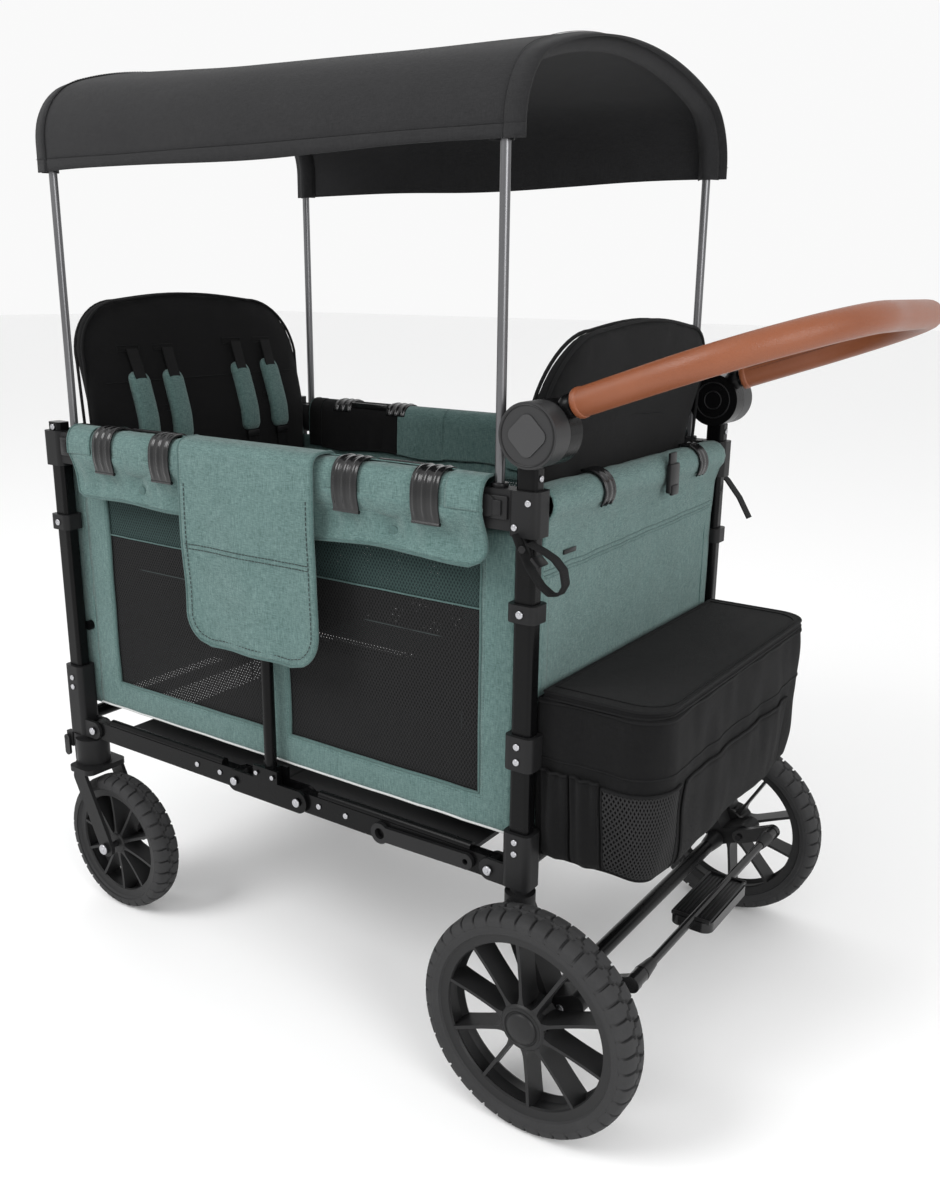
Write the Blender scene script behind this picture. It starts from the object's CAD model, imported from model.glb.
from math import atan2, cos, exp, pi, radians, sin, sqrt, tan
import bmesh
import bpy
from mathutils import Matrix, Vector, noise


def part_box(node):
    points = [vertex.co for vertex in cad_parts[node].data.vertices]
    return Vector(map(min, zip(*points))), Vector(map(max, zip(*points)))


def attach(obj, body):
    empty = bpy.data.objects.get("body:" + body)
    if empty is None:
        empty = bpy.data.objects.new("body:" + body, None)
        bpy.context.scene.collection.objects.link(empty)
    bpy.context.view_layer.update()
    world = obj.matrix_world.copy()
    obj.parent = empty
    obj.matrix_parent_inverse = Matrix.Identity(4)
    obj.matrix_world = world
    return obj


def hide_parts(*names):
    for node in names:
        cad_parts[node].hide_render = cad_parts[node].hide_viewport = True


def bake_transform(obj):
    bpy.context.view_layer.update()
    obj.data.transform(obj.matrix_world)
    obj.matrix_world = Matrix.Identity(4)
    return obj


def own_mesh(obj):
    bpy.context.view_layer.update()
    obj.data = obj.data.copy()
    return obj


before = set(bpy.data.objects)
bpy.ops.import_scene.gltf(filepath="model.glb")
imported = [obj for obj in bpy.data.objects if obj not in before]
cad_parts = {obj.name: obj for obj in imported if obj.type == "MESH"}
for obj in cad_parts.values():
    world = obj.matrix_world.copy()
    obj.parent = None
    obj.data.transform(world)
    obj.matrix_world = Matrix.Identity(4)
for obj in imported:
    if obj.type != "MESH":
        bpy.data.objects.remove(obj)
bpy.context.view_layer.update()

scene = bpy.context.scene
both_ends = (("rear", False), ("front", True))
both_sides = (("near", False), ("far", True))

# ---- Post frames ----
# Four oval steel posts, cross tubes and side rails in satin black powder coat,
# with moulded nylon castings, collars and brackets riveted round them.


class Value:
    """A socket of a finish, which takes part in arithmetic."""

    def __init__(self, finish, socket):
        self.finish = finish
        self.socket = socket

    def math(self, operation, *values):
        return self.finish.add("Math", {"operation": operation}, values)

    def __add__(self, other):
        return self.math("ADD", self, other)

    __radd__ = __add__

    def __sub__(self, other):
        return self.math("SUBTRACT", self, other)

    def __rsub__(self, other):
        return self.math("SUBTRACT", other, self)

    def __mul__(self, other):
        return self.math("MULTIPLY", self, other)

    __rmul__ = __mul__

    def __abs__(self):
        return self.math("ABSOLUTE", self)

    def __lt__(self, other):
        return self.math("LESS_THAN", self, other)


class Finish:
    """One material: a Principled shader, and the nodes that feed it."""

    def __init__(self, name, colour, roughness, **constants):
        self.material = bpy.data.materials.new(name)
        self.material.use_nodes = True
        self.tree = self.material.node_tree
        self.shader = self.tree.nodes["Principled BSDF"].inputs
        self.shader["Base Color"].default_value = (*colour, 1)
        self.shader["Roughness"].default_value = roughness
        for key, value in constants.items():
            self.shader[key.replace("_", " ")].default_value = value
        self.place = self.add("TexCoord", {}, (), "Object")

    def add(self, kind, settings, values, out=0):
        node = self.tree.nodes.new("ShaderNode" + kind)
        for key, value in settings.items():
            setattr(node, key, value)
        for key, value in values.items() if isinstance(values, dict) else enumerate(values):
            self.feed(node.inputs[key], value)
        return Value(self, node.outputs[out])

    def feed(self, socket, value):
        if isinstance(value, Value):
            self.tree.links.new(value.socket, socket)
        else:
            socket.default_value = value

    def noise(self, scale, detail=3.0, stretch=(1, 1, 1)):
        at = self.add("Mapping", {}, {"Vector": self.place, "Scale": stretch})
        return self.add("TexNoise", {}, {"Vector": at, "Scale": scale, "Detail": detail})

    def mix(self, share, a, b):
        a = (*a, 1) if isinstance(a, tuple) else a
        b = (*b, 1) if isinstance(b, tuple) else b
        return self.add("Mix", {"data_type": "RGBA"}, {0: share, 6: a, 7: b}, 2)

    def bump(self, height, distance, strength=1.0):
        normal = self.add("Bump", {}, {"Height": height, "Distance": distance, "Strength": strength})
        self.feed(self.shader["Normal"], normal)

    def colour(self, value):
        self.feed(self.shader["Base Color"], value)

    def rough(self, value):
        self.feed(self.shader["Roughness"], value)


def hard_finish(name, dark, light, roughness, grain, depth, **constants):
    """A coated or moulded surface: faint blotches, a fine grain and uneven gloss."""
    f = Finish(name, dark, roughness, **constants)
    blotch = f.noise(9, 4)
    fine = f.noise(grain, 2)
    f.colour(f.mix(blotch * 0.7 + fine * 0.3, dark, light))
    f.rough(roughness - 0.06 + blotch * 0.14)
    f.bump(fine, depth, 0.6)
    return f


def paint(finish, *names):
    for name in names:
        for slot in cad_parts[name].material_slots:
            slot.material = finish.material


black_coat = hard_finish("black_powder_coat", (0.0015, 0.0015, 0.0017), (0.004, 0.004, 0.0042), 0.26, 900,
                         0.00012, Specular_IOR_Level=0.12)
nylon = hard_finish("grained_nylon", (0.007, 0.007, 0.0074), (0.015, 0.015, 0.0155), 0.44, 1500, 0.0002,
                    Specular_IOR_Level=0.16)
moulded = hard_finish("black_moulding", (0.006, 0.006, 0.0064), (0.012, 0.012, 0.0125), 0.36, 1100,
                      0.00012, Specular_IOR_Level=0.22)
bright = hard_finish("bright_rivet", (0.38, 0.38, 0.4), (0.5, 0.5, 0.52), 0.3, 600, 0.00005, Metallic=1.0)

paint(black_coat, "rear_posts", "front_posts", "rear_cross_tubes", "front_cross_tubes", "centre_frame",
      "lower_rear_rails", "lower_front_rails", "upper_rear_rails", "upper_front_rails", "handle_bar")
paint(nylon, "rear_castings", "front_castings", "rear_brackets", "front_brackets", "rear_collars",
      "front_collars", "wheel_carriers", "caster_fork_near", "caster_fork_far")
paint(moulded, "fold_lock_near", "fold_lock_far", "swivel_lock_near", "swivel_lock_far")

rear_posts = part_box("rear_posts")
front_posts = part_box("front_posts")
rear_x = (rear_posts[0].x + rear_posts[1].x) / 2
front_x = (front_posts[0].x + front_posts[1].x) / 2
mid_x = (rear_x + front_x) / 2
post_y = rear_posts[1].y - 0.011
rail_z = 0.78
low_z = 0.308


def finished(name, bm, finish, body, slot, stands_for=(), angle=40):
    """Makes an object of a bmesh, smooth but for its sharp edges, and rides it on its body."""
    bmesh.ops.remove_doubles(bm, verts=bm.verts[:], dist=1e-6)
    mesh = bpy.data.meshes.new(name)
    bm.to_mesh(mesh)
    bm.free()
    mesh.materials.append(finish.material)
    mesh.shade_smooth()
    mesh.set_sharp_from_angle(angle=radians(angle))
    piece = bpy.data.objects.new(name, mesh)
    scene.collection.objects.link(piece)
    if body:
        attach(piece, body)
    if stands_for:
        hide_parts(*stands_for)
    return piece


def modify(piece, kind, **settings):
    modifier = piece.modifiers.new(kind.title(), kind)
    for key, value in settings.items():
        setattr(modifier, key, value)
    return piece


def thicken(piece, thickness, offset=0.0):
    return modify(piece, "SOLIDIFY", thickness=thickness, offset=offset)


def mirrored(bm, y=False, x=False):
    """A copy of a bmesh, mirrored across the middle of the wagon's width or length."""
    copy = bm.copy()
    for v in copy.verts:
        if y:
            v.co.y = -v.co.y
        if x:
            v.co.x = 2 * mid_x - v.co.x
    if y != x:
        bmesh.ops.reverse_faces(copy, faces=copy.faces[:])
    return copy


def joined(*parts):
    """One bmesh of several, which are used up."""
    whole = bmesh.new()
    for part in parts:
        mesh = bpy.data.meshes.new("part")
        part.to_mesh(mesh)
        part.free()
        whole.from_mesh(mesh)
        bpy.data.meshes.remove(mesh)
    return whole


def eased(bm, edges, width, segments):
    bmesh.ops.bevel(bm, geom=edges, offset=width, segments=segments, profile=0.5, affect="EDGES",
                    material=-1, clamp_overlap=True)


def round_bar(bm, at, axis, radius, length, edge=0.0, segments=20):
    """A short round bar with eased ends, its middle at a point and its length along an axis."""
    turn = Vector((0, 0, 1)).rotation_difference(Vector(axis)).to_matrix().to_4x4()
    made = bmesh.ops.create_cone(bm, cap_ends=True, segments=segments, radius1=radius, radius2=radius,
                                 depth=length, matrix=Matrix.Translation(at) @ turn)
    if edge:
        along = Vector(axis).normalized()
        edges = {e for v in made["verts"] for e in v.link_edges}
        eased(bm, [e for e in edges
                   if abs((e.verts[0].co - e.verts[1].co).normalized().dot(along)) < 0.5], edge, 3)


def slab(bm, size, at, edge=0.0, turn=Matrix.Identity(4)):
    """A block, eased on its edges or else sharp; a sharp one's vertices are handed back."""
    place = Matrix.Translation(at) @ turn @ Matrix.Diagonal((*size, 1))
    made = bmesh.ops.create_cube(bm, size=1, matrix=place)
    if not edge:
        return made["verts"]
    eased(bm, list({e for v in made["verts"] for e in v.link_edges}), edge, 2)


def rivets(name, body, spots, finish, slot, both=True):
    """Domed heads: each spot is a point, the way it faces and its radius."""
    bm = bmesh.new()
    for at, way, radius in spots:
        for s in (1, -1) if both else (1,):
            way_s = Vector((way[0], way[1] * s, way[2]))
            at_s = Vector((at[0], at[1] * s, at[2])) + way_s * radius * 0.18
            round_bar(bm, at_s, way_s, radius, radius * 0.5, radius * 0.22)
            round_bar(bm, at_s + way_s * radius * 0.2, way_s, radius * 0.45, radius * 0.3, radius * 0.1, 6)
    return finished(name, bm, finish, body, slot)


# Where the heads sit on the near side, and the way they face there
outward = (0, -1, 0)
out_y, low_pin_y, rail_pin_y = -post_y - 0.017, -post_y - 0.0155, -post_y - 0.0205
rivets("rear_frame_rivets", "rear_frame", [
    ((rear_x, out_y, low_z + 0.036), outward, 0.0042), ((rear_x, out_y, low_z + 0.052), outward, 0.0042),
    ((rear_x, out_y, 0.655), outward, 0.005), ((rear_x, out_y, 0.468), outward, 0.0045),
    ((rear_x, out_y, 0.488), outward, 0.0045), ((rear_x + 0.008, out_y, rail_z + 0.008), outward, 0.004),
    ((rear_x - 0.010, out_y, rail_z - 0.022), outward, 0.004),
                                           ((rear_x + 0.0142, -post_y, 0.815), (1, 0, 0), 0.004),
    ((rear_x - 0.040, low_pin_y, low_z), outward, 0.0065),
    ((rear_x - 0.074, rail_pin_y, rail_z), outward, 0.006)], bright, "grey_casting")
rivets("front_frame_rivets", "front_frame", [
    ((front_x, out_y, 0.394), outward, 0.0045), ((front_x, out_y, 0.378), outward, 0.0045),
    ((front_x, out_y, 0.656), outward, 0.005), ((front_x, -post_y - 0.011, 0.806), outward, 0.005),
    ((front_x + 0.040, low_pin_y, low_z), outward, 0.0065),
    ((front_x + 0.074, rail_pin_y, rail_z), outward, 0.006)], bright, "grey_casting")
low_pin = rear_x - 0.370
rivets("centre_frame_rivets", "centre_frame", [
    ((x, low_pin_y, low_z + z), outward, r)
    for x, z, r in ((low_pin, 0, 0.0065), (2 * mid_x - low_pin, 0, 0.0065), (mid_x - 0.016, 0.026, 0.0035),
                    (mid_x + 0.016, 0.026, 0.0035))], bright, "black_tube")
for part, sign in (("rear", 1), ("front", -1)):
    rivets(f"lower_{part}_rail_rivets", f"lower_{part}_rails", [
        ((mid_x + sign * dx, -post_y - 0.0085, low_z + 0.002), outward, 0.0042) for dx in (0.100, 0.150)],
        bright, "black_tube")
    end = rear_x if sign > 0 else front_x
    bm = bmesh.new()
    # Clamp button, slot cover and screwed lug of the pole socket on each bracket
    for s in (-1, 1):
        slab(bm, (0.026, 0.004, 0.028), (end - sign * 0.034, s * (post_y + 0.0145), rail_z - 0.001), 0.0015)
        slab(bm, (0.012, 0.004, 0.018), (end - sign * 0.034, s * (post_y + 0.0175), rail_z - 0.001), 0.0012)
        round_bar(bm, (end - sign * 0.043, s * (post_y - 0.002), rail_z + 0.022), (0, 0, 1), 0.0105, 0.006,
                  0.0015, 24)
    finished(f"{part}_bracket_clamps", bm, moulded, f"{part}_frame", "black_plastic")

# ---- Handle hubs ----
# Round moulded hubs on short necks, each with a square push button set on its corner.
# The discs have a raised rim and a fine ring on their faces.
button_grey = hard_finish("button_grey", (0.030, 0.030, 0.031), (0.045, 0.045, 0.046), 0.42, 1300, 0.00015,
                          Specular_IOR_Level=0.3)
hub_grey = hard_finish("hub_nylon", (0.018, 0.018, 0.0185), (0.030, 0.030, 0.031), 0.44, 1500, 0.0002,
                       Specular_IOR_Level=0.25)
paint(button_grey, "hub_button_near", "hub_button_far")
paint(hub_grey, "hub_bases")
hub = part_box("hub_button_near")
hub_x = (hub[0].x + hub[1].x) / 2
hub_z = (hub[0].z + hub[1].z) / 2


def strand(bm, points, radius, closed=False, steps=2):
    """A round bead, cord or wire along points."""
    curve = bpy.data.curves.new("strand", "CURVE")
    curve.dimensions = "3D"
    line = curve.splines.new("POLY")
    line.points.add(len(points) - 1)
    for knot, point in zip(line.points, points):
        knot.co = (*point, 1)
    line.use_cyclic_u = closed
    curve.bevel_depth = radius
    curve.bevel_resolution = steps
    curve.use_fill_caps = not closed
    holder = bpy.data.objects.new("strand", curve)
    mesh = bpy.data.meshes.new_from_object(holder)
    bm.from_mesh(mesh)
    bpy.data.objects.remove(holder)
    bpy.data.curves.remove(curve)
    bpy.data.meshes.remove(mesh)


def ring(at, radius, count=40):
    """Points round an upright circle that faces sideways."""
    return [Vector(at) + radius * Vector((cos(2 * pi * i / count), 0, sin(2 * pi * i / count)))
            for i in range(count)]


bm = bmesh.new()
for s in (-1, 1):
    strand(bm, ring((hub_x, s * (post_y + 0.0198), hub_z), 0.0345), 0.0011, True)
    strand(bm, ring((hub_x, s * (post_y - 0.0400), hub_z), 0.026), 0.0010, True)
    strand(bm, ring((hub_x, s * (post_y - 0.0400), hub_z), 0.013), 0.0010, True)
finished("hub_face_rings", bm, moulded, "rear_frame", "grey_casting")

# ---- Leather grip ----
# Tan leather wrapped round the handle loop from arm to arm, sewn edge to edge
# along the inside of the loop, with a folded and stitched end at each arm.
leather = Finish("tan_leather", (0.16, 0.055, 0.028), 0.36, Specular_IOR_Level=0.4)
pores = leather.noise(620, 4)
creases = leather.add("TexVoronoi", {"feature": "DISTANCE_TO_EDGE"},
                      {"Vector": leather.place, "Scale": 420})
patch = leather.noise(14, 3)
leather.colour(leather.mix(patch * 0.6 + pores * 0.4, (0.150, 0.040, 0.014), (0.255, 0.082, 0.034)))
leather.rough(0.28 + patch * 0.2)
leather.bump(pores * 0.6 + creases * 1.5, 0.0004, 0.7)
thread_tan = Finish("tan_thread", (0.07, 0.022, 0.011), 0.7)
thread_tan.bump(thread_tan.noise(3000, 1), 0.0002)

grip_r = 0.0172
grip_at = Vector((rear_x + 0.033, 0, hub_z + 0.031))
rise, splay, bend = radians(19.2), radians(6), 0.175
arm_y = post_y - 0.027
loop_l = (0.345 - 0.018 - 0.033) / cos(rise)
arm_dx = loop_l - bend - bend * sin(splay)
bend_y = arm_y - bend * cos(splay) + arm_dx * tan(splay)


def in_loop(a, b, lift=0.0):
    """A point of the handle's plane: a along the arms, b across."""
    return grip_at + Vector((a * cos(rise) - lift * sin(rise), b, a * sin(rise) + lift * cos(rise)))


# The near half of the loop, along its arm and round its bend; the far half mirrors it
arm_start = 0.012
arm_line = [arm_start + (arm_dx - arm_start) * i / 10 for i in range(11)]
half_loop = [(a, -arm_y - a * tan(splay)) for a in arm_line]
for i in range(1, 27):
    t = -pi / 2 - splay + (pi / 2 + splay) * i / 26
    half_loop.append((loop_l - bend + bend * cos(t), -bend_y + bend * sin(t)))
loop_end = [(loop_l, -bend_y + 2 * bend_y * i / 8) for i in range(1, 8)]
loop_line = half_loop + loop_end + [(a, -b) for a, b in half_loop[::-1]]
loop_points = [in_loop(a, b) for a, b in loop_line]
bm = bmesh.new()
strand(bm, loop_points, grip_r, steps=8)
for k in (0, -1):
    along = (loop_points[k] - loop_points[1 if k == 0 else -2]).normalized()
    round_bar(bm, loop_points[k] - along * 0.004, along, 0.0181, 0.010, 0.003, 32)
finished("leather_grip", bm, leather, "push_handle", "leather", ["handle_grip"], 60)


def offset_path(points, centre, inward, up, radius):
    """The points moved out to a tube's surface, towards centre by inward and along up."""
    moved = []
    for p in points:
        to = (centre - p)
        to = (to - up * to.dot(up)).normalized()
        moved.append(p + (to * inward + up * sqrt(max(0, 1 - inward * inward))) * radius)
    return moved


loop_up = Vector((-sin(rise), 0, cos(rise)))
loop_mid = in_loop(loop_l * 0.45, 0)
seam = offset_path(loop_points[1:-1], loop_mid, 0.8, loop_up, grip_r)
bm = bmesh.new()
strand(bm, seam, 0.0007)
stitch_rows = [offset_path(loop_points[1:-1], loop_mid, w, loop_up, grip_r + 0.0003) for w in (0.62, 0.93)]


def stitches(bm, points, pitch, length, radius):
    """Short thread stitches laid end to end along points."""
    gone = 0.0
    for p, q in zip(points, points[1:]):
        step = (q - p).length
        while gone < step:
            way = (q - p).normalized()
            round_bar(bm, p + way * gone, way, radius, length, 0, 6)
            gone += pitch
        gone -= step


for row in stitch_rows:
    stitches(bm, row, 0.0055, 0.0038, 0.00045)
finished("grip_seam", bm, thread_tan, "push_handle", "leather")

# ---- Green heather fabric, webbing and bindings ----
# Woven polyester in two tones of sea green, and ribbed black webbing; the edges
# are folded into a narrow binding and sewn.


def woven(name, dark, light, pitch, mottle, roughness, relief, sheen=0.15):
    """A plain weave with streaks of two yarn colours along both threads."""
    f = Finish(name, dark, roughness)
    f.shader["Sheen Weight"].default_value = sheen
    f.shader["Sheen Roughness"].default_value = 0.5
    f.shader["Specular IOR Level"].default_value = 0.1
    split = f.add("SeparateXYZ", {}, [f.place], 0)
    x, y, z = split, Value(f, split.socket.node.outputs[1]), Value(f, split.socket.node.outputs[2])
    across = (x + y) * (2 * pi / pitch)
    down = (z - y) * (2 * pi / pitch)
    weave = across.math("SINE", across) * down.math("SINE", down)
    warp = f.noise(1, 2, (900, 900, 110))
    weft = f.noise(1, 2, (130, 130, 1100))
    blotch = f.noise(22, 3)
    share = (warp - 0.5) * mottle + (weft - 0.5) * mottle + (blotch - 0.5) * 0.35 + weave * 0.08 + 0.5
    f.colour(f.mix(share.math("MINIMUM", share.math("MAXIMUM", share, 0.0), 1.0), dark, light))
    f.rough(roughness - 0.05 + blotch * 0.1)
    f.bump(weave * 0.5 + (warp + weft) * 0.8 + f.noise(60, 3) * 3.0, relief, 0.7)
    return f


green = woven("green_heather", (0.050, 0.098, 0.092), (0.140, 0.222, 0.210), 0.0011, 1.5, 0.82, 0.0004)
green_binding = woven("green_binding", (0.040, 0.080, 0.075), (0.098, 0.165, 0.156), 0.0008, 1.0, 0.75,
                      0.0003)
black_cloth = woven("black_woven", (0.0030, 0.0030, 0.0033), (0.0085, 0.0085, 0.0088), 0.0010, 0.9, 0.85,
                    0.0004, 0.03)
canopy_cloth = woven("canopy_woven", (0.012, 0.012, 0.0127), (0.027, 0.027, 0.0283), 0.0010, 0.8, 0.80,
                     0.0003, 0.06)
webbing = Finish("ribbed_webbing", (0.006, 0.006, 0.0064), 0.7, Specular_IOR_Level=0.15)
ribs = webbing.add("TexWave", {"bands_direction": "DIAGONAL"},
                   {"Vector": webbing.place, "Scale": 420, "Distortion": 0.5})
webbing.colour(webbing.mix(ribs * 0.6 + webbing.noise(90) * 0.4, (0.003, 0.003, 0.0033),
                           (0.012, 0.012, 0.0125)))
webbing.bump(ribs, 0.0004)
thread_dark = Finish("dark_thread", (0.012, 0.02, 0.02), 0.7)
thread_dark.bump(thread_dark.noise(2500, 1), 0.0002)
pale_piping = woven("pale_piping", (0.45, 0.46, 0.46), (0.62, 0.63, 0.62), 0.0009, 0.8, 0.7, 0.0003)


def grid(across, along, place):
    """A sheet whose points are set by place(u, v), both from 0 to 1."""
    bm = bmesh.new()
    bmesh.ops.create_grid(bm, x_segments=across, y_segments=along, size=0.5)
    for v in bm.verts:
        v.co = place(v.co.x + 0.5, v.co.y + 0.5)
    return bm


def ripple(x, y, z, scale, height, seed=0.0):
    """Smooth, repeatable unevenness of cloth."""
    return noise.noise(Vector((x * scale + seed, y * scale - seed, z * scale + 2 * seed))) * height


def clamp(value):
    return max(0.0, min(1.0, value))


def along_line(line, t):
    """The point a share t of the way along a line of points."""
    lengths = [0.0]
    for p, q in zip(line, line[1:]):
        lengths.append(lengths[-1] + (Vector(q) - Vector(p)).length)
    want = t * lengths[-1]
    for i in range(len(line) - 1):
        if want <= lengths[i + 1] or i == len(line) - 2:
            k = (want - lengths[i]) / max(lengths[i + 1] - lengths[i], 1e-9)
            return Vector(line[i]).lerp(Vector(line[i + 1]), clamp(k))


def line_length(line):
    return sum((Vector(q) - Vector(p)).length for p, q in zip(line, line[1:]))


# ---- Canopy ----
# One sheet of dark woven polyester drawn over two tent-pole hoops, hemmed along
# its four edges, with a sleeve over each hoop. It sags a little between them.
pole = hard_finish("anodised_pole", (0.10, 0.10, 0.105), (0.17, 0.17, 0.175), 0.3, 700, 0.00005,
                   Metallic=0.85)
paint(pole, "rear_hoop", "front_hoop")
rear_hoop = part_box("rear_hoop")
front_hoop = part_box("front_hoop")
canopy_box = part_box("canopy")
hoop_y, arch_h, corner_r = 0.270, 0.116, 0.085
rear_hoop_x = (rear_hoop[0].x + rear_hoop[1].x) / 2
front_hoop_x = (front_hoop[0].x + front_hoop[1].x) / 2
rear_arch_z, front_arch_z = 1.192, 1.218
corner_y = hoop_y - corner_r
crown_r = (corner_y ** 2 + arch_h ** 2 - corner_r ** 2) / (2 * (arch_h - corner_r))
crown_a = atan2(corner_y, crown_r - arch_h)


def arch_line(start_z, foot_z, proud):
    """The section of the canopy over a hoop, from the near foot to the far foot."""
    right = [(hoop_y + proud, foot_z), (hoop_y + proud, start_z)]
    right += [(corner_y + (corner_r + proud) * cos(t), start_z + (corner_r + proud) * sin(t))
              for t in [(pi / 2 - crown_a) * i / 10 for i in range(1, 11)]]
    right += [((crown_r + proud) * sin(t), start_z + arch_h - crown_r + (crown_r + proud) * cos(t))
              for t in [crown_a * (1 - i / 12) for i in range(1, 13)]]
    return [Vector((0, -y, z)) for y, z in right] + [Vector((0, y, z)) for y, z in right[-2::-1]]


canopy_x0, canopy_x1 = canopy_box[0].x + 0.002, canopy_box[1].x - 0.002
# How much shorter the wagon is when its rails are folded right up
rail_l, fold_angle = 0.330, radians(68)
fold_travel = 2 * rail_l * (1 - cos(fold_angle))
canopy_z = canopy_box[0].z


def arch_z(share):
    """Where the arch starts, a share of the way from the rear hoop to the front one."""
    return rear_arch_z + (front_arch_z - rear_arch_z) * share


def canopy_point(u, v, lift=0.0):
    """u runs from the front edge to the rear edge, v over the arch from side to side."""
    x = canopy_x0 + (canopy_x1 - canopy_x0) * u
    share = (x - rear_hoop_x) / (front_hoop_x - rear_hoop_x)
    sag = 0.006 * max(0.0, 4 * share * (1 - share)) * sin(pi * clamp((v - 0.1) / 0.8))
    edge = 0.0035 * max(0.0, share - 1, -share) / 0.03
    p = along_line(arch_line(arch_z(share), canopy_z, 0.0096 - sag - edge + lift), v)
    p.x = x
    p.z += 0.002 * sin(9 * u) * (1 if v in (0.0, 1.0) else 0)
    wave = ripple(x, p.y, p.z, 7, 0.0022)
    p.y += wave * (1 if p.y > 0 else -1)
    p.z += ripple(x, p.y, p.z, 5, 0.002, 3.0)
    return p


canopy = finished("canopy_sheet", grid(44, 90, canopy_point), canopy_cloth, None, "canopy_fabric",
                  ["canopy"])
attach(canopy, "rear_frame")
thicken(canopy, 0.0014)
hems = joined(
    grid(44, 2, lambda u, v: canopy_point(u, 0.022 * v, 0.0012)),
              grid(44, 2, lambda u, v: canopy_point(u, 1 - 0.022 * v, 0.0012)),
    grid(2, 90, lambda u, v: canopy_point(0.030 * u, v, 0.0012)),
              grid(2, 90, lambda u, v: canopy_point(1 - 0.030 * u, v, 0.0012)))
canopy_hems = finished("canopy_hems", hems, canopy_cloth, "rear_frame", "canopy_fabric")
thicken(canopy_hems, 0.0012)
sleeves = bmesh.new()
for hoop, share in ((rear_hoop_x, 0.0), (front_hoop_x, 1.0)):
    def sleeve_under(u, v, hoop=hoop, share=share):
        p = along_line(arch_line(arch_z(share), canopy_z, 0.0078 - 0.0165 * sin(pi * u)), v)
        return Vector((hoop + 0.032 * (u - 0.5), p.y, p.z))
    sleeves = joined(sleeves, grid(8, 90, sleeve_under))
canopy_sleeves = finished("canopy_hoop_sleeves", sleeves, canopy_cloth, "rear_frame", "canopy_fabric")
thicken(canopy_sleeves, 0.0010)
line_length(arch_line(rear_arch_z, canopy_z, 0.0))
bm = bmesh.new()
for v in (0.024, 0.976):
    stitches(bm, [canopy_point(i / 60, v, 0.0022) for i in range(61)], 0.005, 0.0034, 0.0004)
for u in (0.032, 0.968):
    stitches(bm, [canopy_point(u, i / 90, 0.0022) for i in range(91)], 0.005, 0.0034, 0.0004)
canopy_thread = finished("canopy_stitching", bm, canopy_cloth, "rear_frame", "canopy_fabric")
for piece in (canopy, canopy_hems, canopy_thread, canopy_sleeves):
    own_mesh(piece)
line_length(arch_line(rear_arch_z, canopy_z, 0.0096))

# ---- Padded rail sleeves ----
# Green fabric tubes stuffed with foam round the upper rails, a little pinched under
# each clip and rounded off where they end.
sleeve_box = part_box("rear_rail_sleeves")
clip_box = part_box("rear_rail_clips")
clip_half = 0.021
clips = (clip_box[1].x - clip_half, clip_box[0].x + clip_half)
sleeve_z = (sleeve_box[0].z + sleeve_box[1].z) / 2
sleeve_w, sleeve_h = 0.0235, 0.0330


def oblong(t, w, h, power=2.6):
    """A rounded oblong of half-width w and half-height h, as t goes once round."""
    c, s = cos(2 * pi * t), sin(2 * pi * t)
    return Vector((0, w * (abs(c) ** (2 / power)) * (1 if c > 0 else -1),
                   h * (abs(s) ** (2 / power)) * (1 if s > 0 else -1)))


def rounded_off(t, length):
    """How full a padded tube is a share t of the way along, with both its ends rounded off."""
    return sqrt(1 - (1 - clamp(min(t, 1 - t) / length)) ** 2)


def sleeve_point(u, v):
    x = sleeve_box[0].x + (sleeve_box[1].x - sleeve_box[0].x) * u
    pinch = sum(exp(-((x - c) / 0.024) ** 4) for c in clips)
    size = 0.60 + 0.40 * rounded_off(u, 0.05)
    p = oblong(v % 1.0, (sleeve_w - 0.0012 * pinch) * size, (sleeve_h - 0.0014 * pinch) * size)
    lumps = ripple(x, p.y, p.z, 28, 0.05) * (1 - 0.8 * min(pinch, 1))
    soft = 1 + lumps + ripple(x, p.y * 0.3, p.z * 0.3, 90, 0.022)
    return Vector((x, -post_y + p.y * soft, sleeve_z + p.z * soft))


def cover_point(x0, x1, proud, foot=0.52, drop=0.052):
    """The rail cover's cloth: up from its inner hem, over the top, to the padded rail's outer face."""
    line = [Vector((0, sleeve_w + proud, -drop + drop * i / 8)) for i in range(8)]
    line += [oblong(foot * i / 30, sleeve_w + proud, sleeve_h + proud) for i in range(31)]

    def place(u, v):
        x = x0 + (x1 - x0) * u
        p = along_line(line, v)
        hang = clamp(-p.z / 0.04) if p.y > 0 else 0.0
        fold = abs(ripple(x, 0, p.z * 0.3, 24, 0.0045)) * hang
        return Vector((x, -post_y + p.y + fold, sleeve_z + p.z + ripple(x, 0, 0, 10, 0.006) * hang))
    return place


def four_corners(near):
    """The near rear piece with its mirror on the far side, and both again at the front."""
    rear = joined(near.copy(), mirrored(near, y=True))
    near.free()
    return rear, mirrored(rear, x=True)


near = grid(90, 40, sleeve_point)
stops = bmesh.new()
for x in (sleeve_box[0].x + 0.0005, sleeve_box[1].x - 0.0005):
    flat = Matrix.Rotation(pi / 2, 4, "Y") @ Matrix.Diagonal((1.2, 0.85, 1, 1))
    bmesh.ops.create_circle(stops, cap_ends=True, segments=40, radius=0.0165,
                            matrix=Matrix.Translation((x, -post_y, sleeve_z)) @ flat)
both, front = four_corners(joined(near, stops))
rear_sleeves = finished("rear_rail_padding", both, green, "upper_rear_rails", "green_fabric",
                        ["rear_rail_sleeves"], 70)
front_sleeves = finished("front_rail_padding", front, green, "upper_front_rails", "green_fabric",
                         ["front_rail_sleeves"], 70)
bm = bmesh.new()
strand(bm, [sleeve_point(i / 60, 0.79) for i in range(3, 58)], 0.0011)
both, front = four_corners(bm)
finished("rear_sleeve_seams", both, green_binding, "upper_rear_rails", "green_fabric")
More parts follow.
